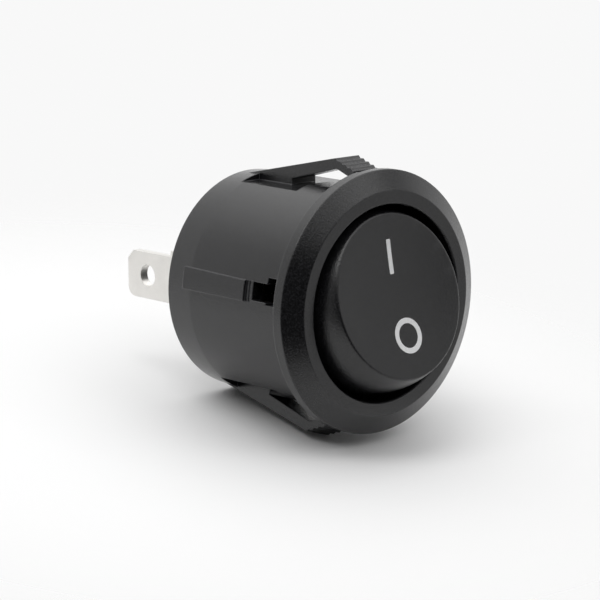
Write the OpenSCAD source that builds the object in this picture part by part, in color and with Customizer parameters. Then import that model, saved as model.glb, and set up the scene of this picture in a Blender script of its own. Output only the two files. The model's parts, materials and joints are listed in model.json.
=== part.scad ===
// Round snap-in rocker switch, two blades, on and off.
// Millimetres. The switch axis is Y: the rocker faces -Y, the blades point to +Y, the I end is up (+Z).
// The origin is on the axis in the plane where the bezel seats on the panel.
// The rocker is drawn with its I end pressed in, which is the on position.

/* [Barrel] */
// Outer diameter of the barrel that goes through the panel
barrel_d = 20; // [18:0.5:24]
// Length of the barrel behind the panel seat
barrel_l = 15.4; // [14:0.1:18]
// Thickness of the barrel's round wall
barrel_wall = 1.4; // [1.2:0.05:1.8]
// Thickness of the rear wall
rear_wall = 2; // [1.4:0.1:2.6]
// Length of the tapered lead-in at the rear end
lead_in_l = 3.15; // [1.5:0.05:3.5]
// How far the lead-in comes in from the barrel's surface
lead_in_drop = 0.21; // [0.15:0.01:0.6]
// Depth of the round well behind the panel seat
well_depth = 5; // [4.4:0.1:6]
// Thickness of the flat walls between the contact chamber and the snap arms
chamber_wall = 1.1; // [0.8:0.1:1.6]

/* [Bezel] */
// Width of the panel seat outside the barrel
seat_w = 1.5; // [1:0.1:2.5]
// Height of the bezel in front of the panel
bezel_h = 2.05; // [1.6:0.05:2.6]
// Height of the rim's straight side
rim_h = 1.05; // [0.6:0.05:1.2]
// Width of the flat ring round the well
ring_w = 1.18; // [0.6:0.02:1.4]
// Radius on the bezel's edges
bezel_edge_r = 0.12; // [0.05:0.01:0.2]

/* [Snap arms] */
// Width of each snap arm
arm_w = 2.8; // [2:0.1:3.6]
// Thickness of each snap arm at its highest step
arm_t = 0.9; // [0.7:0.01:1.1]
// Thickness of each snap arm where its web begins
arm_web_t = 1.16; // [1:0.01:1.3]
// How far the highest step stands above the barrel
arm_rise = 2.2; // [1.6:0.01:2.4]
// Distance from the panel seat to the highest step
arm_latch_y = 2.95; // [2.8:0.05:3.6]
// Distance from the panel seat to the arm's root
arm_root_y = 12.65; // [11.5:0.05:13]
// Distance from the panel seat to the web that joins the arm to the barrel
arm_web_y = 8.4; // [7.5:0.1:10]
// Number of steps at the arm's tip
step_count = 4; // [2:1:4]
// Length of one step
step_pitch = 0.61; // [0.5:0.01:0.64]
// Height of one step
step_drop = 0.22; // [0.15:0.01:0.3]
// How far the front of each step leans
step_lean = 0.2; // [0:0.02:0.3]
// Radius on the edge of each step
step_edge_r = 0.05; // [0.02:0.01:0.08]
// Length of the flat below the arm's tip, from the panel seat
tip_flat_l = 5.45; // [4.5:0.05:6.5]
// Width of the flat below the arm's tip
tip_flat_w = 4.4; // [4.2:0.1:5]
// Width of the deeper flat behind it
arm_flat_w = 7.3; // [6.8:0.1:7.8]
// Depth of the notch in the panel seat at each arm's tip
tip_notch = 0.3; // [0.2:0.05:0.5]
// Room beside the arm's tip in that notch
tip_notch_clear = 0.4; // [0.2:0.05:0.6]

/* [Side key] */
// Width of the key strip on the left of the barrel
key_w = 1.8; // [1.4:0.05:2.2]
// How much wider the key is at its rear end
key_flare = 0.17; // [0:0.01:0.3]
// Turn of the key above the left side, in degrees
key_turn = 8.3; // [6:0.1:12]
// How far the key stands above the barrel
key_h = 0.15; // [0.1:0.01:0.2]
// Distance from the panel seat to the key's front end
key_front_y = 5.2; // [4.6:0.1:5.5]
// Length of the key strip
key_l = 7.9; // [6:0.1:8]
// Length of each of the two steps in front of the key
key_step_l = 0.4; // [0.3:0.05:0.7]
// Depth of each step
key_step_drop = 0.08; // [0.06:0.01:0.4]
// Width of the slot in front of the steps
slot_w = 1.6; // [1.2:0.05:1.8]
// Width of the window in front of the slot
window_w = 2.35; // [2:0.05:2.6]
// Length of the window's wide part, from the panel seat
window_l = 2.5; // [2:0.1:2.8]
// How far the window's middle lies above the key's
window_shift = 0.27; // [0:0.01:0.3]
// Depth of the recess between the window and the panel seat
window_recess = 0.4; // [0.2:0.05:0.45]

/* [Rocker] */
// Room between the rocker and the well
rocker_gap = 0.55; // [0.3:0.01:0.6]
// Distance from the pivot to the rocker's face
face_h = 3.64; // [2.6:0.02:3.8]
// Depth of the dish in the face
dish_depth = 0.45; // [0.2:0.05:0.6]
// Radius round the edge of the face
face_edge_r = 0.2; // [0.1:0.05:0.6]
// Thickness of the rocker's face
face_t = 1.54; // [1.3:0.02:2]
// Thickness of the rocker's skirt
skirt_t = 1.3; // [1:0.05:1.6]
// How far the skirt reaches behind the pivot
skirt_l = 1.5; // [1.2:0.1:2]
// Turn of the rocker from on to off, in degrees
rocker_turn = 28; // [24:0.5:30]
// Diameter of the rocker's two pivot pins
pivot_d = 1.8; // [1.4:0.1:2]
// Radial room round the pins
pivot_clear = 0.05; // [0.03:0.01:0.08]
// How far the pins reach into the barrel's wall
pivot_grip = 0.62; // [0.5:0.02:0.7]
// Room at the ends of the pins
pivot_end_gap = 0.1; // [0.05:0.01:0.12]

/* [Plunger and spring] */
// Diameter of the plunger
plunger_d = 2.8; // [2.4:0.1:3.2]
// Radial room of the plunger in the rocker's stem
plunger_clear = 0.05; // [0.03:0.01:0.08]
// Wall of the rocker's stem
stem_wall = 0.85; // [0.7:0.05:1.1]
// How far the stem reaches behind the pivot
stem_l = 5.6; // [5:0.1:6]
// Length of the plunger inside the stem
plunger_grip = 3; // [2.4:0.1:3.4]
// Radius of the plunger's nose
nose_r = 0.9; // [0.7:0.05:1.1]
// Length of the plunger's tapered end
nose_taper_l = 2; // [1.4:0.1:2.2]
// Thickness of the stem's blind end
stem_end_t = 0.6; // [0.4:0.1:0.9]
// Wire of the spring
wire_d = 0.28; // [0.2:0.01:0.34]
// Room between the spring and the stem's bore
spring_clear = 0.12; // [0.08:0.01:0.2]
// Room at each end of the spring
spring_end_gap = 0.02; // [0.01:0.01:0.05]
// Turns of the spring
spring_turns = 6; // [4:1:7]

/* [Contacts] */
// Thickness of the terminals' sheet
sheet_t = 0.8; // [0.6:0.05:0.9]
// Thickness of the contact bridge
bridge_t = 0.6; // [0.4:0.05:0.7]
// Width of the contact bridge
bridge_w = 2.4; // [2:0.1:2.8]
// Slope of the bridge's two wings, in degrees
wing_slope = 15; // [12:0.5:17]
// Turn of the bridge for one degree of the rocker
bridge_ratio = 0.5; // [0.4:0.01:0.6]
// Length of the wing that carries the contact
wing_l = 6.2; // [6:0.1:6.4]
// Length of the other wing
short_wing_l = 5; // [4:0.1:6]
// Place of the moving contact along its wing
contact_s = 5; // [4.6:0.1:5.1]
// Diameter of the bridge's pivot pins
fulcrum_d = 1.2; // [1:0.05:1.3]
// Radial room of the pins in their cradle
fulcrum_clear = 0.05; // [0.03:0.01:0.08]
// Height of the pins' axis above the terminal's foot
fulcrum_h = 1.2; // [1:0.05:1.4]
// Room between the bridge and the cradle's ears
ear_gap = 0.1; // [0.08:0.01:0.2]
// Width of the cradle's ears
ear_w = 2.8; // [2.4:0.1:3.2]
// Least room between the plunger's nose and the bridge
nose_gap = 0.04; // [0.03:0.01:0.1]
// Room between the two contacts in the on position
contact_gap = 0.03; // [0.02:0.01:0.06]
// Diameter of the moving contact
contact_d = 2.2; // [1.8:0.1:2.4]
// Height of the moving contact
contact_h = 0.6; // [0.5:0.05:0.7]
// Radius of the moving contact's dome
dome_r = 3; // [2.4:0.1:4]
// Diameter of the fixed contact
fixed_contact_d = 2.6; // [2.2:0.1:2.8]
// Diameter of the rivets' shanks
shank_d = 1.16; // [0.9:0.02:1.3]
// Radial room of the shanks
shank_clear = 0.02; // [0.01:0.01:0.04]
// Diameter of the moving rivet's set head
set_head_d = 1.8; // [1.5:0.1:2]
// Height of the moving rivet's set head
set_head_h = 0.25; // [0.15:0.05:0.3]

/* [Terminals] */
// Width of the blades
blade_w = 4.2; // [3.6:0.1:4.8]
// Length of the blades behind the rear wall
blade_l = 7.8; // [7:0.1:9]
// Distance of each blade's middle from the switch axis, sideways
blade_x = 7.4; // [7:0.1:7.5]
// Height of the blades' middle above the axis
blade_z = 0.4; // [-0.5:0.05:0.5]
// Width of the shoulder on each edge of a blade
shoulder_w = 0.55; // [0.3:0.05:0.6]
// Length of the shoulder behind the rear wall
shoulder_l = 1.9; // [1:0.1:3]
// Cut across the corners of a blade's tip
tip_cut = 0.75; // [0.4:0.05:1]
// Rounding of the blades' lower corners
tip_round = 0.9; // [0.5:0.05:1.2]
// Diameter of the wire hole
wire_hole_d = 2; // [1.4:0.1:2.2]
// Distance from the blade's tip to the wire hole
wire_hole_back = 2.7; // [2.2:0.1:3.2]
// Room round the terminals in the rear wall
slot_clear = 0.1; // [0.05:0.01:0.12]
// Room between the two terminals' feet
foot_gap = 0.9; // [0.6:0.1:1]

/* [Hidden] */
$fn = 96;
spare = 1; // how far cutters run past the surfaces they open

// Radii and planes of the housing
barrel_r = barrel_d / 2;
rim_r = barrel_r + seat_w;
well_r = barrel_r - barrel_wall;
ring_r = well_r + ring_w;
mouth_r = well_r + bezel_edge_r;
rear_inner_y = barrel_l - rear_wall;
lead_in_y = barrel_l - lead_in_l;
tip_flat_z = chord_z(barrel_r, tip_flat_w);
arm_flat_z = chord_z(barrel_r, arm_flat_w);
chamber_z = arm_flat_z - chamber_wall;

// Snap arm: its top runs from the highest step down into the lead-in behind the root
arm_latch_z = barrel_r + arm_rise;
arm_tip_y = arm_latch_y - (step_count - 0.25) * step_pitch;
arm_tip_z = arm_latch_z - step_count * step_drop;
arm_end_y = (arm_root_y + barrel_l) / 2;
arm_end_z = chord_z(barrel_r - lead_in_drop * (arm_end_y - lead_in_y) / lead_in_l, arm_w);
arm_slope = (arm_latch_z - arm_end_z) / (arm_end_y - arm_latch_y);
arm_web_z = arm_latch_z - (arm_web_y - arm_latch_y) * arm_slope - arm_web_t;
arm_foot_z = arm_flat_z - chamber_wall / 2;
tip_slope = step_drop / step_pitch;

// Rocker
half_turn = rocker_turn / 2;
rocker_r = well_r - rocker_gap;
edge_c = [chord_x(rocker_r - face_edge_r, face_h - face_edge_r), face_edge_r - face_h];
edge_end = edge_c * rocker_r / norm(edge_c);
dish_r = (pow(edge_c[0], 2) + pow(dish_depth, 2)) / (2 * dish_depth);
pivot_reach = well_r + pivot_grip;
socket_r = pivot_d / 2 + pivot_clear;
bore_r = plunger_d / 2 + plunger_clear;
bore_end_y = face_t - face_h + stem_end_t;

// Contact chamber: the feet lie on the rear wall, the bridge turns in the cradle above them
foot_y = rear_inner_y - sheet_t;
fulcrum_y = foot_y - fulcrum_h;
foot_w = blade_w + 2 * shoulder_w;
ear_x = bridge_w / 2 + ear_gap;
foot_end_x = ear_x + sheet_t;
bridge_tilt = bridge_ratio * half_turn;

// Distance from the rocker's pivot to the middle of the nose, set by the tightest point of the travel
nose_reach = min([for (turn = [0 : half_turn / 24 : half_turn])
    let (slope = wing_slope - bridge_ratio * turn)
    (fulcrum_y * cos(slope) - bridge_t / 2 - nose_r - nose_gap) / cos(turn - slope)]);
plunger_y = stem_l - plunger_grip;

// The fixed contact's face lies under the lowest point of the moving contact's dome
down_slope = wing_slope - bridge_tilt;
dome_back = dome_r - bridge_t / 2 - contact_h;
dome_y = fulcrum_y - contact_s * sin(down_slope) - dome_back * cos(down_slope);
dome_z = dome_back * sin(down_slope) - contact_s * cos(down_slope);
fixed_face_y = dome_y + dome_r + contact_gap;

function chord_z(r, w) = sqrt(pow(r, 2) - pow(w / 2, 2));
function chord_x(r, h) = sqrt(pow(r, 2) - pow(h, 2));
function unit(v) = v / norm(v);
function flat(p) = [p[0], p[1]];

// Points that round the corner q between p and s with radius r
function corner(p, q, s, r, n = 5) = r == 0 ? [q] :
    let (u = unit(p - q), v = unit(s - q), half = acos(u * v) / 2, turn = 180 - 2 * half)
    let (c = q + unit(u + v) * r / sin(half), a = q + u * r / tan(half) - c, b = q + v * r / tan(half) - c)
    [for (i = [0 : n]) c + (a * sin(turn * (1 - i / n)) + b * sin(turn * i / n)) / sin(turn)];

// An outline from points [x, y, corner radius]
function outline(pts) = let (n = len(pts)) [for (i = [0 : n - 1])
    each corner(flat(pts[(i + n - 1) % n]), flat(pts[i]), flat(pts[(i + 1) % n]), pts[i][2])];

// A turned shape: the profile's first axis is the radius, its second runs along +Y
module turned() rotate([-90, 0, 0]) rotate_extrude() children();

// A rod along Y from y0 to y1
module rod_y(r, y0, y1) translate([0, y0, 0]) rotate([-90, 0, 0]) cylinder(r = r, h = y1 - y0);

// A rod along X from x0 to x1
module rod_x(r, x0, x1) translate([x0, 0, 0]) rotate([0, 90, 0]) cylinder(r = r, h = x1 - x0);

// A sheet of thickness t across X, drawn in Y and Z
module sheet_yz(t) translate([-t / 2, 0, 0]) rotate([90, 0, 90]) linear_extrude(t) children();

// A sheet of thickness t from y0, drawn in X and Z
module sheet_xz(y0, t) translate([0, y0 + t, 0]) rotate([90, 0, 0]) linear_extrude(t) children();

// A block between two corners
module block(low, high) translate(low) cube(high - low);

// The upper snap arm's place, and the lower one's: its mirror image about the plane of the key
module arm_pair() {
    children();
    rotate([0, 2 * key_turn, 0]) mirror([0, 0, 1]) children();
}

// Both sides of the switch, left and right
module left_and_right() for (side = [0, 1]) mirror([side, 0, 0]) children();

// Outside of the housing: bezel, seat, barrel and lead-in
module housing_outside() turned() polygon(outline([
    [0, -bezel_h, 0],
    [ring_r, -bezel_h, bezel_edge_r],
    [rim_r, -rim_h, bezel_edge_r],
    [rim_r, 0, bezel_edge_r],
    [barrel_r, 0, 0],
    [barrel_r, lead_in_y, 0],
    [barrel_r - lead_in_drop, barrel_l, bezel_edge_r],
    [0, barrel_l, 0]]));

// Round well for the rocker, with a broken edge at its mouth
module well() turned() polygon([
    [0, -bezel_h - spare],
    [mouth_r + spare, -bezel_h - spare],
    [mouth_r, -bezel_h],
    [well_r, -bezel_h + bezel_edge_r],
    [well_r, well_depth],
    [0, well_depth]]);

// Contact chamber behind the well, flat below each snap arm
module chamber() difference() {
    rod_y(well_r, well_depth - spare, rear_inner_y);
    arm_pair() block([-barrel_r, 0, chamber_z], [barrel_r, barrel_l, barrel_r]);
}

// Flats below one snap arm, and the notch in the panel seat at its tip
module arm_room() {
    block([-barrel_r, 0, tip_flat_z], [barrel_r, tip_flat_l, rim_r + spare]);
    block([-barrel_r, tip_flat_l, arm_flat_z], [barrel_r, arm_root_y, rim_r + spare]);
    notch_x = arm_w / 2 + tip_notch_clear;
    block([-notch_x, -tip_notch, tip_flat_z], [notch_x, spare, rim_r + spare]);
}

// One snap arm: a tongue that rises from its web, with steps that catch the panel's back
module snap_arm() {
    bend = [arm_latch_y - arm_t * tip_slope / 2, arm_latch_z - arm_t];
    sheet_yz(arm_w) polygon(outline(concat(
        [[arm_web_y, arm_foot_z, 0], [arm_end_y, arm_foot_z, 0], [arm_end_y, arm_end_z, 0]],
        [for (i = [0 : step_count - 1], drop = [0, 1])
            [arm_latch_y - i * step_pitch - drop * step_lean, arm_latch_z - (i + drop) * step_drop,
                (1 - drop) * step_edge_r]],
        [[arm_tip_y, arm_tip_z, 0]],
        [[arm_tip_y, bend[1] - (bend[0] - arm_tip_y) * tip_slope, 0], [bend[0], bend[1], 0]],
        [[arm_web_y, arm_web_z, 0]])));
}

// Key strip on the left of the barrel, a little wider towards the rear
module key_strip() rotate([0, key_turn, 0]) intersection() {
    key_end_y = key_front_y + key_l;
    rod_y(barrel_r + key_h, key_front_y, key_end_y);
    translate([-barrel_r, 0, 0]) sheet_yz(2 * barrel_wall) polygon([
        [key_front_y, -key_w / 2],
        [key_end_y, -key_w / 2],
        [key_end_y, key_w / 2 + key_flare],
        [key_front_y, key_w / 2]]);
}

// Steps, slot, window and recess in front of the key
module key_room() rotate([0, key_turn, 0]) {
    step_y = key_front_y - key_step_l;
    slot_y = step_y - key_step_l;
    low_z = window_shift - window_w / 2;
    high_z = window_shift + window_w / 2;
    wall_y = socket_r + window_recess;
    key_cut(barrel_r - key_step_drop, step_y, key_front_y, -key_w / 2, key_w / 2);
    key_cut(barrel_r - 2 * key_step_drop, slot_y, step_y, -key_w / 2, key_w / 2);
    key_cut(well_r - spare, window_l, slot_y, key_w / 2 - slot_w, key_w / 2);
    key_cut(well_r - spare, wall_y, window_l, low_z, high_z);
    key_cut(barrel_r - window_recess, 0, wall_y, low_z, high_z);
}

// A cut into the barrel's left side, down to radius r
module key_cut(r, y0, y1, z0, z1) difference() {
    block([-barrel_r - key_h, y0, z0], [-r + barrel_wall, y1, z1]);
    rod_y(r, y0 - spare, y1 + spare);
}

// Slots in the rear wall for the two terminals
module terminal_slots() left_and_right() {
    half_t = sheet_t / 2 + slot_clear;
    half_w = foot_w / 2 + slot_clear;
    block([blade_x - half_t, rear_inner_y - spare, blade_z - half_w],
        [blade_x + half_t, barrel_l + spare, blade_z + half_w]);
}

// Moulded housing: bezel, barrel, snap arms, key and rear wall in one piece
module housing() color([0.13, 0.13, 0.14]) {
    difference() {
        union() {
            housing_outside();
            key_strip();
        }
        well();
        chamber();
        arm_pair() arm_room();
        key_room();
        terminal_slots();
        left_and_right() rod_x(socket_r, well_r - spare, pivot_reach + pivot_end_gap);
    }
    arm_pair() snap_arm();
}

// Half section of the rocker's dished shell
module rocker_section() difference() {
    intersection() {
        circle(r = rocker_r);
        translate([0, -face_h]) square([rocker_r, face_h + skirt_l]);
    }
    translate([0, dish_depth - face_h - dish_r]) circle(r = dish_r, $fn = 360);
    rocker_edge();
    intersection() {
        circle(r = rocker_r - skirt_t);
        translate([0, face_t - face_h]) square([rocker_r, face_h + skirt_l]);
    }
}

// What the rounded edge takes off the rocker's section
module rocker_edge() difference() {
    polygon([edge_c, [edge_c[0], -rocker_r], [rocker_r, -rocker_r], edge_end * (1 + spare / rocker_r)]);
    translate(edge_c) circle(r = face_edge_r);
}

// Turns what follows with the rocker into the on position
module with_rocker() rotate([-half_turn, 0, 0]) children();

// Rocker: dished shell, pivot pins and the stem that guides the plunger
module rocker() color([0.16, 0.16, 0.17]) with_rocker() {
    difference() {
        union() {
            turned() rocker_section();
            rod_y(bore_r + stem_wall, face_t - face_h - stem_end_t, stem_l);
        }
        rod_y(bore_r, bore_end_y, stem_l + spare);
    }
    left_and_right() rod_x(pivot_d / 2, rocker_r - skirt_t, pivot_reach);
}

// Plunger: guided in the stem, with a tapered end and a round nose
module plunger() color("ivory") with_rocker() {
    taper_y = nose_reach - nose_taper_l;
    rod_y(plunger_d / 2, plunger_y, taper_y);
    translate([0, taper_y, 0]) rotate([-90, 0, 0]) cylinder(r1 = plunger_d / 2, r2 = nose_r, h = nose_taper_l);
    translate([0, nose_reach, 0]) sphere(r = nose_r);
}

// Compression spring between the stem's blind end and the plunger
module plunger_spring() color("silver") with_rocker() {
    sides = 8;
    steps = 16;
    wire_r = wire_d / 2;
    coil_r = bore_r - spring_clear - wire_r;
    low = bore_end_y + wire_r + spring_end_gap;
    rise = plunger_y - bore_end_y - wire_d - 2 * spring_end_gap;
    rings = spring_turns * steps;
    points = [for (i = [0 : rings], j = [0 : sides - 1])
        let (a = 360 * i / steps, b = 360 * j / sides, r = coil_r + wire_r * cos(b))
        [r * cos(a), low + rise * i / rings + wire_r * sin(b), r * sin(a)]];
    skin = [for (i = [0 : rings - 1], j = [0 : sides - 1])
        let (k = (j + 1) % sides)
        [i * sides + j, i * sides + k, (i + 1) * sides + k, (i + 1) * sides + j]];
    ends = [[for (j = [sides - 1 : -1 : 0]) j], [for (j = [0 : sides - 1]) rings * sides + j]];
    polyhedron(points, concat(skin, ends));
}

// Turns what follows with the contact bridge into the on position
module with_bridge() translate([0, fulcrum_y, 0]) rotate([bridge_tilt, 0, 0]) children();

// Frame of the wing that carries the contact: its length runs along -Z, its back faces +Y
module on_wing() with_bridge() rotate([-wing_slope, 0, 0]) children();

// Contact bridge: a V-shaped strip with a pivot pin on each side of its middle
module contact_bridge() color([0.78, 0.55, 0.36]) {
    half_t = bridge_t / 2;
    half_w = bridge_w / 2;
    difference() {
        union() {
            on_wing() block([-half_w, -half_t, -wing_l], [half_w, half_t, 0]);
            with_bridge() rotate([wing_slope, 0, 0]) block([-half_w, -half_t, 0], [half_w, half_t, short_wing_l]);
            with_bridge() left_and_right() rod_x(fulcrum_d / 2, half_w, foot_end_x);
        }
        on_wing() translate([0, 0, -contact_s]) rod_y(shank_d / 2 + shank_clear, -bridge_t, bridge_t);
    }
}

// Moving contact: a domed rivet set through the bridge's wing
module bridge_rivet() color([0.82, 0.82, 0.8]) on_wing() translate([0, 0, -contact_s]) {
    half_t = bridge_t / 2;
    rod_y(shank_d / 2, -half_t - set_head_h, half_t + contact_h / 2);
    rod_y(set_head_d / 2, -half_t - set_head_h, -half_t);
    intersection() {
        rod_y(contact_d / 2, half_t, half_t + contact_h);
        translate([0, -dome_back, 0]) sphere(r = dome_r);
    }
}

// Blade of a terminal with its shoulders, seen from the side, from the foot to the tip
module blade_outline() {
    half_foot = foot_w / 2;
    half_blade = blade_w / 2;
    shoulder_y = barrel_l + shoulder_l;
    tip_y = barrel_l + blade_l;
    difference() {
        translate([0, blade_z]) polygon(outline([
            [foot_y, -half_foot, 0],
            [shoulder_y, -half_foot, 0],
            [shoulder_y, -half_blade, 0],
            [tip_y, -half_blade, tip_round],
            [tip_y, half_blade - tip_cut, 0],
            [tip_y - tip_cut, half_blade, 0],
            [shoulder_y, half_blade, 0],
            [shoulder_y, half_foot, 0],
            [foot_y, half_foot, 0]]));
        translate([tip_y - wire_hole_back, blade_z]) circle(d = wire_hole_d);
    }
}

// Common terminal: left blade, bent to a foot whose two ears cradle the bridge's pins
module common_terminal() color([0.8, 0.79, 0.77]) {
    translate([-blade_x, 0, 0]) sheet_yz(sheet_t) blade_outline();
    block([-blade_x - sheet_t / 2, foot_y, blade_z - foot_w / 2], [foot_end_x, rear_inner_y, blade_z + foot_w / 2]);
    left_and_right() translate([ear_x + sheet_t / 2, 0, 0]) sheet_yz(sheet_t) difference() {
        notch_r = fulcrum_d / 2 + fulcrum_clear;
        translate([fulcrum_y - notch_r, -ear_w / 2]) square([fulcrum_h + notch_r + sheet_t / 2, ear_w]);
        translate([fulcrum_y, 0]) circle(r = notch_r);
        translate([fulcrum_y - 2 * notch_r, -notch_r]) square(2 * notch_r);
    }
}

// Foot of the switched terminal, seen from the front
module switched_foot() {
    inner_x = foot_end_x + foot_gap;
    outer_x = inner_x + fixed_contact_d;
    half_pad = fixed_contact_d / 2 + sheet_t / 2;
    low_z = dome_z - half_pad;
    translate([inner_x, blade_z - foot_w / 2]) square([blade_x + sheet_t / 2 - inner_x, foot_w]);
    translate([inner_x, low_z]) square([outer_x - inner_x, blade_z - low_z]);
    translate([-half_pad, low_z]) square([inner_x + half_pad + sheet_t, 2 * half_pad]);
}

// Switched terminal: right blade, bent to a foot that carries the fixed contact
module switched_terminal() color([0.8, 0.79, 0.77]) {
    translate([blade_x, 0, 0]) sheet_yz(sheet_t) blade_outline();
    sheet_xz(foot_y, sheet_t) difference() {
        switched_foot();
        translate([0, dome_z]) circle(r = shank_d / 2 + shank_clear);
    }
}

// Fixed contact: a flat rivet on the switched terminal's foot
module fixed_rivet() color([0.82, 0.82, 0.8]) translate([0, 0, dome_z]) {
    rod_y(fixed_contact_d / 2, fixed_face_y, foot_y);
    rod_y(shank_d / 2, fixed_face_y, rear_inner_y);
}

housing();
rocker();
plunger();
plunger_spring();
contact_bridge();
bridge_rivet();
common_terminal();
switched_terminal();
fixed_rivet();
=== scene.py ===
# Round snap-in rocker switch: the looks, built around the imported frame
import json
import math

import bmesh
import bpy
from mathutils import Euler, Matrix, Vector


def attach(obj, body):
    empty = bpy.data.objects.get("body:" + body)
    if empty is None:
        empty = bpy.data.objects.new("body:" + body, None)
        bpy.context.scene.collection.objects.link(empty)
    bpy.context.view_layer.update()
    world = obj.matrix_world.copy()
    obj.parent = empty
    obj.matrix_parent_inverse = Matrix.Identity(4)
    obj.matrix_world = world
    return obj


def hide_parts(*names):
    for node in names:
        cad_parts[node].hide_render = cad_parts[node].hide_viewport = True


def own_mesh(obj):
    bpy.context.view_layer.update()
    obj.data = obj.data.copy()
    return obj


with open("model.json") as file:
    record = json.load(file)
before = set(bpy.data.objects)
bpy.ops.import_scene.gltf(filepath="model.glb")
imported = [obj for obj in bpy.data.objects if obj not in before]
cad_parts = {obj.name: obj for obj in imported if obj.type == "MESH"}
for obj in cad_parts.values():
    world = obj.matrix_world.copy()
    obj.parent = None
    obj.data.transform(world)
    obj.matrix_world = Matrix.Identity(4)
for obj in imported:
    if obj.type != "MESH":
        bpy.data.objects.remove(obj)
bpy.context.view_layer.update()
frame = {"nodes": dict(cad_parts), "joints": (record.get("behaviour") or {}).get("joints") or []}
mm = 0.001
weld = 0.001 * mm  # points nearer than this are one
bevelSamples = 6
noiseMiddle = {"From Min": 0.35, "From Max": 0.65}  # spread from here, a noise has crisp specks
noiseMost = {"From Min": 0.3, "From Max": 0.7}  # nearly all of a noise lies between these
edgeTurn = {"From Min": 0.995, "From Max": 0.8}  # cosine of the turn where the paler edge, part rubbed wear and part painted highlight, starts and is full
scene = bpy.context.scene
scene.view_settings.view_transform = "Standard"
joints = {joint["name"]: joint for joint in frame["joints"]}
rockerTilt = math.radians(joints["rocker_pivot"]["range_deg"][1]) / 2  # I end pressed in at rest
print("frame loaded:", ", ".join(sorted(frame["nodes"])))


def linear(hexColour):
    channels = [int(hexColour[i:i + 2], 16) / 255 for i in (1, 3, 5)]
    return [c / 12.92 if c <= 0.04045 else ((c + 0.055) / 1.055) ** 2.4 for c in channels] + [1.0]


def addNode(tree, kind, inputs=None, **settings):
    node = tree.nodes.new(kind)
    for name, value in settings.items():
        setattr(node, name, value)
    for name, value in (inputs or {}).items():
        if isinstance(value, bpy.types.NodeSocket):
            tree.links.new(value, node.inputs[name])
        else:
            node.inputs[name].default_value = value
    return node


def newMaterial(name):
    material = bpy.data.materials.new(name)
    material.use_nodes = True
    material.node_tree.nodes.clear()
    return material, material.node_tree


def dress(nodeName, material):
    mesh = frame["nodes"][nodeName].data
    if not mesh.materials:
        mesh.materials.append(material)
    for slot in range(len(mesh.materials)):
        mesh.materials[slot] = material


# Black polyamide 66, moulded in a spark-eroded tool: near black with a satin gloss and a fine even grain,
# a little paler along every edge, partly rubbed wear and partly a painted highlight for the light that the
# edge's rounding catches
def mouldedPolyamide(name, look):
    material, tree = newMaterial(name)
    place = addNode(tree, "ShaderNodeTexCoord").outputs["Object"]
    grain = addNode(tree, "ShaderNodeTexNoise", {
        "Vector": place, "Scale": 1 / (look["grain"] * mm), "Detail": 3.0, "Roughness": 0.6})
    cloud = addNode(tree, "ShaderNodeTexNoise", {
        "Vector": place, "Scale": 1 / (look["cloud"] * mm), "Detail": 2.0, "Roughness": 0.5})
    speck = addNode(tree, "ShaderNodeMapRange", {"Value": grain.outputs["Fac"], **noiseMiddle})
    flow = addNode(tree, "ShaderNodeMix", {
        0: speck.outputs["Result"], 6: linear(look["colour"]), 7: linear(look["paler"])}, data_type="RGBA")
    edge = addNode(tree, "ShaderNodeBevel", {"Radius": look["edge"] * mm}, samples=bevelSamples)
    shape = addNode(tree, "ShaderNodeNewGeometry")
    turn = addNode(tree, "ShaderNodeVectorMath", {
        0: edge.outputs["Normal"], 1: shape.outputs["Normal"]}, operation="DOT_PRODUCT")
    # painted highlight: every edge is made paler by the bevel mask, part rubbed wear and part the light that
    # the rounding would catch
    rubAndHighlight = addNode(tree, "ShaderNodeMapRange", {
        "Value": turn.outputs["Value"], **edgeTurn, "To Max": look["rubAndHighlight"]})
    rubbedAndHighlit = addNode(tree, "ShaderNodeMix", {
        0: rubAndHighlight.outputs["Result"], 6: flow.outputs[2], 7: linear(look["rubbedAndHighlit"])}, data_type="RGBA")
    sheen = addNode(tree, "ShaderNodeMapRange", {
        "Value": cloud.outputs["Fac"], **noiseMost,
        "To Min": look["rough"] - look["uneven"], "To Max": look["rough"] + look["uneven"]})
    pits = addNode(tree, "ShaderNodeBump", {
        "Height": grain.outputs["Fac"], "Strength": look["pits"], "Distance": look["depth"] * mm,
        "Normal": edge.outputs["Normal"]})
    plastic = addNode(tree, "ShaderNodeBsdfPrincipled", {
        "Base Color": rubbedAndHighlit.outputs[2], "Roughness": sheen.outputs["Result"], "IOR": 1.53,
        "Normal": pits.outputs["Normal"]})
    addNode(tree, "ShaderNodeOutputMaterial", {"Surface": plastic.outputs["BSDF"]})
    return material


# Lengths in mm; the real grain is about 0.04 and is drawn coarser so that it shows
# the edge colour and its share paint every edge paler, as rubbed wear and as a painted highlight
housingLook = {
    "colour": "#0a0a0b", "paler": "#252527", "rubbedAndHighlit": "#555558", "rubAndHighlight": 0.8,
    "grain": 0.16, "depth": 0.03, "pits": 0.7, "cloud": 5.0, "rough": 0.17, "uneven": 0.04, "edge": 0.14}
rockerLook = {
    "colour": "#0a0a0b", "paler": "#232325", "rubbedAndHighlit": "#3a3a3c", "rubAndHighlight": 0.5,
    "grain": 0.15, "depth": 0.025, "pits": 1.0, "cloud": 4.0, "rough": 0.2, "uneven": 0.04, "edge": 0.25}
dress("housing", mouldedPolyamide("moulded black polyamide, eroded", housingLook))
dress("rocker", mouldedPolyamide("moulded black polyamide, satin", rockerLook))


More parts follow.
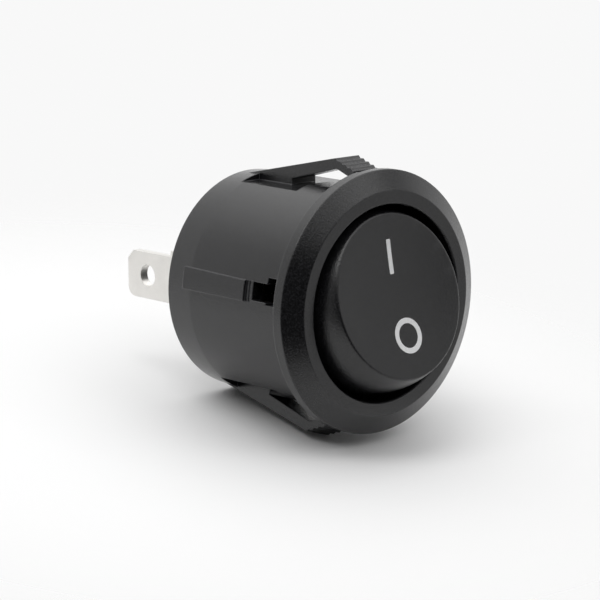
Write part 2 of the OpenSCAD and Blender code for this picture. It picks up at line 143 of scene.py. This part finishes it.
# A solid comes as loose triangles, thin ones at the middle of the rocker's dish. Joined up and shaded
# by area, the dish is even all over; an edge that turns by more than sharpFrom degrees stays sharp
def joinedCopy(nodeName, name, sharpFrom):
    solid = bmesh.new()
    solid.from_mesh(frame["nodes"][nodeName].data)
    bmesh.ops.remove_doubles(solid, verts=solid.verts, dist=weld)
    mesh = bpy.data.meshes.new(name)
    solid.to_mesh(mesh)
    solid.free()
    mesh.attributes.remove(mesh.attributes["custom_normal"])
    for face in mesh.polygons:
        face.use_smooth = True
    mesh.set_sharp_from_angle(angle=math.radians(sharpFrom))
    mesh.materials.clear()
    mesh.materials.append(frame["nodes"][nodeName].data.materials[0])
    copy = bpy.data.objects.new(name, mesh)
    scene.collection.objects.link(copy)
    even = copy.modifiers.new("even shading", "WEIGHTED_NORMAL")
    even.mode = "FACE_AREA"
    even.keep_sharp = True
    evaluated = copy.evaluated_get(bpy.context.evaluated_depsgraph_get())
    copy.data = bpy.data.meshes.new_from_object(evaluated)
    copy.modifiers.remove(copy.modifiers["even shading"])
    return copy


rockerMoulding = joinedCopy("rocker", "rocker_moulding", sharpFrom=50)
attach(rockerMoulding, "rocker")
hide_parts("rocker")


# Rolled, stamped and plated sheet: bright grey metal with faint streaks along the strip
# and a softer, cloudier gloss than bare metal
def rolledSheet(name, look):
    material, tree = newMaterial(name)
    place = addNode(tree, "ShaderNodeTexCoord").outputs["Object"]
    stretched = addNode(tree, "ShaderNodeMapping", {"Vector": place, "Scale": (1.0, look["streak"], 1.0)})
    streaks = addNode(tree, "ShaderNodeTexNoise", {
        "Vector": stretched.outputs["Vector"], "Scale": 1 / (look["grain"] * mm),
        "Detail": 4.0, "Roughness": 0.65})
    cloud = addNode(tree, "ShaderNodeTexNoise", {
        "Vector": place, "Scale": 1 / (look["cloud"] * mm), "Detail": 3.0, "Roughness": 0.6})
    tone = addNode(tree, "ShaderNodeMix", {
        0: cloud.outputs["Fac"], 6: linear(look["colour"]), 7: linear(look["darker"])}, data_type="RGBA")
    gloss = addNode(tree, "ShaderNodeMapRange", {
        "Value": streaks.outputs["Fac"], **noiseMost,
        "To Min": look["rough"] - look["uneven"], "To Max": look["rough"] + look["uneven"]})
    edge = addNode(tree, "ShaderNodeBevel", {"Radius": look["edge"] * mm}, samples=bevelSamples)
    lines = addNode(tree, "ShaderNodeBump", {
        "Height": streaks.outputs["Fac"], "Strength": look["lines"], "Distance": look["depth"] * mm,
        "Normal": edge.outputs["Normal"]})
    metal = addNode(tree, "ShaderNodeBsdfPrincipled", {
        "Base Color": tone.outputs[2], "Metallic": 1.0, "Roughness": gloss.outputs["Result"],
        "Normal": lines.outputs["Normal"]})
    addNode(tree, "ShaderNodeOutputMaterial", {"Surface": metal.outputs["BSDF"]})
    return material


tinLook = {
    "colour": "#eeece8", "darker": "#dddbd7", "streak": 0.06, "grain": 0.12, "cloud": 1.6,
    "rough": 0.38, "uneven": 0.07, "lines": 0.25, "depth": 0.006, "edge": 0.06}
brassLook = {
    "colour": "#d8b878", "darker": "#c29f5c", "streak": 0.08, "grain": 0.1, "cloud": 1.2,
    "rough": 0.32, "uneven": 0.07, "lines": 0.2, "depth": 0.004, "edge": 0.05}
silverLook = {
    "colour": "#d9d8d2", "darker": "#bdbab2", "streak": 1.0, "grain": 0.15, "cloud": 0.5,
    "rough": 0.4, "uneven": 0.07, "lines": 0.2, "depth": 0.004, "edge": 0.05}
wireLook = {
    "colour": "#a9a9ab", "darker": "#8f8f92", "streak": 1.0, "grain": 0.08, "cloud": 0.4,
    "rough": 0.3, "uneven": 0.07, "lines": 0.15, "depth": 0.003, "edge": 0.03}
tinPlate = rolledSheet("tin-plated brass sheet, stamped", tinLook)
silverFace = rolledSheet("silver-faced contact, headed", silverLook)
dress("common_terminal", tinPlate)
dress("switched_terminal", tinPlate)
dress("contact_bridge", rolledSheet("rolled brass strip, stamped", brassLook))
dress("bridge_rivet", silverFace)
dress("fixed_rivet", silverFace)
dress("plunger_spring", rolledSheet("drawn spring steel wire", wireLook))


# The spring, which the plunger presses towards the blind end of the rocker's stem, is drawn as a joined,
# smoothly shaded copy that rides with the rocker at its modelled length
def coilSpring():
    coil = joinedCopy("plunger_spring", "plunger_coil", sharpFrom=40)
    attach(coil, "rocker")
    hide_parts("plunger_spring")
    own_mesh(coil)


coilSpring()


# Natural acetal, moulded: milky white, smooth and slightly waxy, with soft flow clouds
def mouldedAcetal(name, look):
    material, tree = newMaterial(name)
    place = addNode(tree, "ShaderNodeTexCoord").outputs["Object"]
    cloud = addNode(tree, "ShaderNodeTexNoise", {
        "Vector": place, "Scale": 1 / (look["cloud"] * mm), "Detail": 2.0, "Roughness": 0.5})
    flow = addNode(tree, "ShaderNodeMix", {
        0: cloud.outputs["Fac"], 6: linear(look["colour"]), 7: linear(look["darker"])}, data_type="RGBA")
    waves = addNode(tree, "ShaderNodeBump", {
        "Height": cloud.outputs["Fac"], "Strength": look["waves"], "Distance": look["depth"] * mm})
    plastic = addNode(tree, "ShaderNodeBsdfPrincipled", {
        "Base Color": flow.outputs[2], "Roughness": look["rough"], "IOR": 1.48,
        "Normal": waves.outputs["Normal"]})
    addNode(tree, "ShaderNodeOutputMaterial", {"Surface": plastic.outputs["BSDF"]})
    return material


acetalLook = {
    "colour": "#ece8dc", "darker": "#dfdacb", "cloud": 0.8, "waves": 0.2, "depth": 0.01, "rough": 0.35}
dress("plunger", mouldedAcetal("natural acetal, moulded", acetalLook))
print("CAD nodes dressed")


# Pad-printed ink: off-white, matt, a thin film that is a little uneven where the pad lifted
def printedInk(name, look):
    material, tree = newMaterial(name)
    place = addNode(tree, "ShaderNodeTexCoord").outputs["Object"]
    cover = addNode(tree, "ShaderNodeTexNoise", {
        "Vector": place, "Scale": 1 / (look["speck"] * mm), "Detail": 3.0, "Roughness": 0.6})
    share = addNode(tree, "ShaderNodeMapRange", {"Value": cover.outputs["Fac"], **noiseMiddle})
    tone = addNode(tree, "ShaderNodeMix", {
        0: share.outputs["Result"], 6: linear(look["thin"]), 7: linear(look["colour"])}, data_type="RGBA")
    film = addNode(tree, "ShaderNodeBump", {
        "Height": cover.outputs["Fac"], "Strength": look["bumps"], "Distance": look["depth"] * mm})
    ink = addNode(tree, "ShaderNodeBsdfPrincipled", {
        "Base Color": tone.outputs[2], "Roughness": look["rough"], "IOR": 1.47,
        "Normal": film.outputs["Normal"]})
    addNode(tree, "ShaderNodeOutputMaterial", {"Surface": ink.outputs["BSDF"]})
    return material


inkLook = {
    "colour": "#fafafa", "thin": "#f2f3f4", "speck": 0.2, "bumps": 0.3, "depth": 0.006, "rough": 0.55}
ink = printedInk("pad-printed white ink", inkLook)

marks = {  # places and sizes on the rocker's face, across and up, in mm
    "stroke": 0.47, "film": 0.02, "sunk": 0.01,
    "barCentre": (-0.06, 3.46), "barLength": 3.0, "barEnd": 0.12,
    "ringCentre": (0.57, -3.45), "ringRadius": 1.31, "ahead": 8.0, "reach": 50.0,
    "ringSteps": 96, "barSteps": 120, "endSteps": 6}


# The outline of a mark is filled flat ahead of the face, dropped on the dish and thickened
def markTree():
    tree = bpy.data.node_groups.new("printed mark", "GeometryNodeTree")
    sockets = tree.interface
    sockets.new_socket("Geometry", in_out="OUTPUT", socket_type="NodeSocketGeometry")
    for name, kind in (("Face", "Object"), ("Ink", "Material"), ("Ring", "Bool"), ("Stroke", "Float"),
                       ("Length", "Float"), ("End", "Float"), ("Radius", "Float"), ("Film", "Float"),
                       ("Sunk", "Float"), ("Place", "Vector"), ("Turn", "Vector"), ("Drop", "Vector")):
        sockets.new_socket(name, in_out="INPUT", socket_type="NodeSocket" + kind)
    given = addNode(tree, "NodeGroupInput").outputs
    half = addNode(tree, "ShaderNodeMath", {0: given["Stroke"], 1: 0.5}, operation="MULTIPLY").outputs[0]
    wide = addNode(tree, "ShaderNodeMath", {0: given["Radius"], 1: half}, operation="ADD").outputs[0]
    narrow = addNode(tree, "ShaderNodeMath", {0: given["Radius"], 1: half}, operation="SUBTRACT").outputs[0]
    outer = addNode(tree, "GeometryNodeCurvePrimitiveCircle", {
        "Resolution": marks["ringSteps"], "Radius": wide})
    inner = addNode(tree, "GeometryNodeCurvePrimitiveCircle", {
        "Resolution": marks["ringSteps"], "Radius": narrow})
    rings = addNode(tree, "GeometryNodeJoinGeometry")
    tree.links.new(outer.outputs["Curve"], rings.inputs[0])
    tree.links.new(inner.outputs["Curve"], rings.inputs[0])
    oblong = addNode(tree, "GeometryNodeCurvePrimitiveQuadrilateral", {
        "Width": given["Stroke"], "Height": given["Length"]})
    rounded = addNode(tree, "GeometryNodeFilletCurve", {
        "Curve": oblong.outputs["Curve"], "Radius": given["End"], "Count": marks["endSteps"]}, mode="POLY")
    bar = addNode(tree, "GeometryNodeResampleCurve", {
        "Curve": rounded.outputs["Curve"], "Count": marks["barSteps"]})
    pick = addNode(tree, "GeometryNodeSwitch", {
        "Switch": given["Ring"], "False": bar.outputs["Curve"], "True": rings.outputs["Geometry"]},
        input_type="GEOMETRY")
    fill = addNode(tree, "GeometryNodeFillCurve", {"Curve": pick.outputs["Output"]}, mode="TRIANGLES")
    placed = addNode(tree, "GeometryNodeTransform", {
        "Geometry": fill.outputs["Mesh"], "Translation": given["Place"], "Rotation": given["Turn"]})
    target = addNode(tree, "GeometryNodeObjectInfo", {"Object": given["Face"]}, transform_space="ORIGINAL")
    hit = addNode(tree, "GeometryNodeRaycast", {
        "Target Geometry": target.outputs["Geometry"], "Ray Direction": given["Drop"],
        "Ray Length": marks["reach"] * mm})
    back = addNode(tree, "ShaderNodeVectorMath", {
        0: given["Drop"], "Scale": given["Sunk"]}, operation="SCALE")
    spot = addNode(tree, "ShaderNodeVectorMath", {
        0: hit.outputs["Hit Position"], 1: back.outputs["Vector"]}, operation="ADD")
    laid = addNode(tree, "GeometryNodeSetPosition", {
        "Geometry": placed.outputs["Geometry"], "Position": spot.outputs["Vector"]})
    height = addNode(tree, "ShaderNodeMath", {0: given["Film"], 1: given["Sunk"]}, operation="ADD").outputs[0]
    up = addNode(tree, "ShaderNodeMath", {0: height, 1: -1.0}, operation="MULTIPLY").outputs[0]
    rise = addNode(tree, "GeometryNodeExtrudeMesh", {
        "Mesh": laid.outputs["Geometry"], "Offset": given["Drop"], "Offset Scale": up, "Individual": False})
    under = addNode(tree, "GeometryNodeFlipFaces", {"Mesh": laid.outputs["Geometry"]})
    whole = addNode(tree, "GeometryNodeJoinGeometry")
    tree.links.new(rise.outputs["Mesh"], whole.inputs[0])
    tree.links.new(under.outputs["Mesh"], whole.inputs[0])
    closed = addNode(tree, "GeometryNodeMergeByDistance", {
        "Geometry": whole.outputs["Geometry"], "Distance": weld})
    plain = addNode(tree, "GeometryNodeRealizeInstances", {"Geometry": closed.outputs["Geometry"]})
    inked = addNode(tree, "GeometryNodeSetMaterial", {
        "Geometry": plain.outputs["Geometry"], "Material": given["Ink"]})
    addNode(tree, "NodeGroupOutput", {"Geometry": inked.outputs["Geometry"]})
    return tree


# Runs a node group once and keeps the mesh that it gives
def plainMesh(name, tree, values):
    worker = bpy.data.objects.new(name, bpy.data.meshes.new(name))
    scene.collection.objects.link(worker)
    modifier = worker.modifiers.new("build", "NODES")
    modifier.node_group = tree
    sockets = {item.name: item.identifier for item in tree.interface.items_tree if item.in_out == "INPUT"}
    for key, value in values.items():
        modifier[sockets[key]] = value
    bpy.context.view_layer.update()
    evaluated = worker.evaluated_get(bpy.context.evaluated_depsgraph_get())
    mesh = bpy.data.meshes.new_from_object(evaluated)
    worker.modifiers.remove(modifier)
    worker.data = mesh
    return worker


rockerTurn = Euler((-rockerTilt, 0, 0)).to_matrix()
markFace = markTree()


def printMark(name, centre, ring):
    ahead = Vector((centre[0], -marks["ahead"], centre[1])) * mm
    mark = plainMesh(name, markFace, {
        "Face": frame["nodes"]["rocker"], "Ink": ink, "Ring": ring, "Stroke": marks["stroke"] * mm,
        "Length": marks["barLength"] * mm, "End": marks["barEnd"] * mm, "Radius": marks["ringRadius"] * mm,
        "Film": marks["film"] * mm, "Sunk": marks["sunk"] * mm, "Place": rockerTurn @ ahead,
        "Turn": (math.pi / 2 - rockerTilt, 0.0, 0.0), "Drop": rockerTurn @ Vector((0, 1, 0))})
    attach(mark, "rocker")


printMark("mark_on", marks["barCentre"], False)
printMark("mark_off", marks["ringCentre"], True)
print("marks printed on the rocker")


floorLook = {  # lengths in mm; the board fades out round its centre, so that it has no edge
    "colour": "#f7f7f7", "radius": 100, "corners": 64, "centre": (-6, 14, 0), "fadeFrom": 20, "fadeTo": 60,
    "rough": 0.6, "gloss": 0.2, "fibresPerMetre": 900.0, "tooth": 0.05, "depth": 0.05, "stepToRear": 5}


# The switch lies on the steps of its lower snap arm and on the barrel's rear edge
def restPlane():
    points = [vertex.co for vertex in frame["nodes"]["housing"].data.vertices]
    step = min(points, key=lambda p: p.z)
    behind = [p for p in points if p.y > step.y + floorLook["stepToRear"] * mm]
    slope = min((p.z - step.z) / (p.y - step.y) for p in behind)
    return Vector((0, step.y, step.z)), math.atan(slope)


floorSpot, floorTilt = restPlane()


# Matt white board: pale, with a faint tooth, so that the shadow on it is soft; clear from below
def layFloor():
    material, tree = newMaterial("matt white board")
    place = addNode(tree, "ShaderNodeTexCoord").outputs["Object"]
    out = addNode(tree, "ShaderNodeVectorMath", {
        0: place, 1: Vector(floorLook["centre"]) * mm}, operation="DISTANCE")
    fade = addNode(tree, "ShaderNodeMapRange", {
        "Value": out.outputs["Value"], "From Min": floorLook["fadeFrom"] * mm,
        "From Max": floorLook["fadeTo"] * mm}, interpolation_type="SMOOTHSTEP")
    fibre = addNode(tree, "ShaderNodeTexNoise", {
        "Vector": place, "Scale": floorLook["fibresPerMetre"], "Detail": 2.0})
    tooth = addNode(tree, "ShaderNodeBump", {
        "Height": fibre.outputs["Fac"], "Strength": floorLook["tooth"], "Distance": floorLook["depth"] * mm})
    board = addNode(tree, "ShaderNodeBsdfPrincipled", {
        "Base Color": linear(floorLook["colour"]), "Roughness": floorLook["rough"],
        "Specular IOR Level": floorLook["gloss"], "Normal": tooth.outputs["Normal"]})
    clear = addNode(tree, "ShaderNodeBsdfTransparent")
    below = addNode(tree, "ShaderNodeNewGeometry").outputs["Backfacing"]
    gone = addNode(tree, "ShaderNodeMath", {0: fade.outputs["Result"], 1: below}, operation="MAXIMUM")
    mix = addNode(tree, "ShaderNodeMixShader", {
        0: gone.outputs[0], 1: board.outputs["BSDF"], 2: clear.outputs["BSDF"]})
    addNode(tree, "ShaderNodeOutputMaterial", {"Surface": mix.outputs["Shader"]})
    mesh = bpy.data.meshes.new("floor")
    radius = floorLook["radius"] * mm
    count = floorLook["corners"]
    angles = [math.tau * i / count for i in range(count)]
    corners = [(radius * math.cos(angle), radius * math.sin(angle), 0) for angle in angles]
    mesh.from_pydata(corners, [], [list(range(count))])
    mesh.materials.append(material)
    floor = bpy.data.objects.new("floor", mesh)
    floor.location = floorSpot
    floor.rotation_euler = (floorTilt, 0, 0)
    scene.collection.objects.link(floor)


layFloor()
print("floor laid, tilted", round(math.degrees(floorTilt), 2), "degrees")

photoView = {  # the photograph's camera, solved on the bezel's circles; degrees, mm and pixels
    "azimuth": -43.11, "elevation": 10.98, "distance": 236.1, "focalPixels": 2750.0,
    "imageSize": 600.0, "aimPixel": (379.1, 302.24), "aimPoint": (0, -1.05, 0),
    "sensor": 36.0, "near": 5, "far": 5000}


# The camera stands off along its own axes, so that the aim point falls on the aim pixel
def placeCamera():
    azimuth = math.radians(photoView["azimuth"])
    elevation = math.radians(photoView["elevation"])
    level = math.cos(elevation)
    back = Vector((math.sin(azimuth) * level, -math.cos(azimuth) * level, math.sin(elevation)))
    right = Vector((math.cos(azimuth), math.sin(azimuth), 0))
    up = back.cross(right)
    reach = photoView["distance"] / photoView["focalPixels"]
    middle = photoView["imageSize"] / 2
    across = (photoView["aimPixel"][0] - middle) * reach
    down = (photoView["aimPixel"][1] - middle) * reach
    spot = Vector(photoView["aimPoint"]) - across * right + down * up + photoView["distance"] * back
    data = bpy.data.cameras.new("photo camera")
    data.sensor_width = photoView["sensor"]
    data.lens = data.sensor_width * photoView["focalPixels"] / photoView["imageSize"]
    data.clip_start = photoView["near"] * mm
    data.clip_end = photoView["far"] * mm
    camera = bpy.data.objects.new("photo camera", data)
    camera.matrix_world = Matrix.Translation(spot * mm) @ Matrix((right, up, back)).transposed().to_4x4()
    scene.collection.objects.link(camera)
    scene.camera = camera


placeCamera()

# Watts, metres from the switch and degrees; falloff pairs the cosine of the angle to the dark side
# with the share of the room's light that comes from there
studio = {
    "backdrop": 0.94, "ambient": 0.62, "darkSide": (-0.55, -0.83, 0.05),
    "falloff": (
        (-0.2, 1.0), (-0.1, 0.5), (0.02, 0.55), (0.15, 0.8),
        (0.28, 0.8), (0.42, 0.7), (0.52, 0.1), (0.9, 0.03)),
    "lamps": {
        "overhead softbox": {
            "watts": 4.25, "wide": 1.1, "deep": 1.4, "turn": 0, "from": (-0.05, -0.05, 0.48)},
        "left strip": {
            "watts": 0.46, "wide": 0.42, "deep": 0.12, "turn": -35, "from": (-0.25, 0.0, 0.42)}}}


# The room is white behind the switch, greyer beside it and dark towards the front left;
# the camera sees plain white all round
def lightStudio():
    world = bpy.data.worlds.new("white studio")
    world.use_nodes = True
    scene.world = world
    tree = world.node_tree
    tree.nodes.clear()
    path = addNode(tree, "ShaderNodeLightPath").outputs
    ahead = addNode(tree, "ShaderNodeTexCoord").outputs["Generated"]
    facing = addNode(tree, "ShaderNodeVectorMath", {
        0: ahead, 1: Vector(studio["darkSide"]).normalized()}, operation="DOT_PRODUCT")
    turn = addNode(tree, "ShaderNodeMapRange", {"Value": facing.outputs["Value"], "From Min": -1.0})
    room = addNode(tree, "ShaderNodeValToRGB", {"Fac": turn.outputs["Result"]})  # at 1 the dark side
    stops = room.color_ramp.elements
    while len(stops) < len(studio["falloff"]):
        stops.new(1.0)
    for stop, (facingBy, share) in zip(stops, studio["falloff"]):
        stop.position = (facingBy + 1) / 2
        stop.color = (share, share, share, 1.0)
    mirrored = addNode(tree, "ShaderNodeMath", {
        0: path["Is Glossy Ray"], 1: path["Is Transmission Ray"]}, operation="MAXIMUM")
    level = addNode(tree, "ShaderNodeMapRange", {
        "Value": mirrored.outputs[0], "To Min": studio["ambient"], "To Max": studio["backdrop"]})
    around = addNode(tree, "ShaderNodeMath", {
        0: room.outputs["Color"], 1: level.outputs["Result"]}, operation="MULTIPLY")
    strength = addNode(tree, "ShaderNodeMix", {
        0: path["Is Camera Ray"], 2: around.outputs[0], 3: studio["backdrop"]})
    white = addNode(tree, "ShaderNodeBackground", {"Color": (1, 1, 1, 1), "Strength": strength.outputs[0]})
    addNode(tree, "ShaderNodeOutputWorld", {"Surface": white.outputs["Background"]})
    for name, look in studio["lamps"].items():
        light = bpy.data.lights.new(name, "AREA")
        light.energy = look["watts"]
        light.shape = "RECTANGLE"
        light.size = look["wide"]
        light.size_y = look["deep"]
        lamp = bpy.data.objects.new(name, light)
        lamp.location = look["from"]
        lamp.rotation_euler = (floorTilt, 0, math.radians(look["turn"]))
        scene.collection.objects.link(lamp)


lightStudio()
print("camera and studio set")
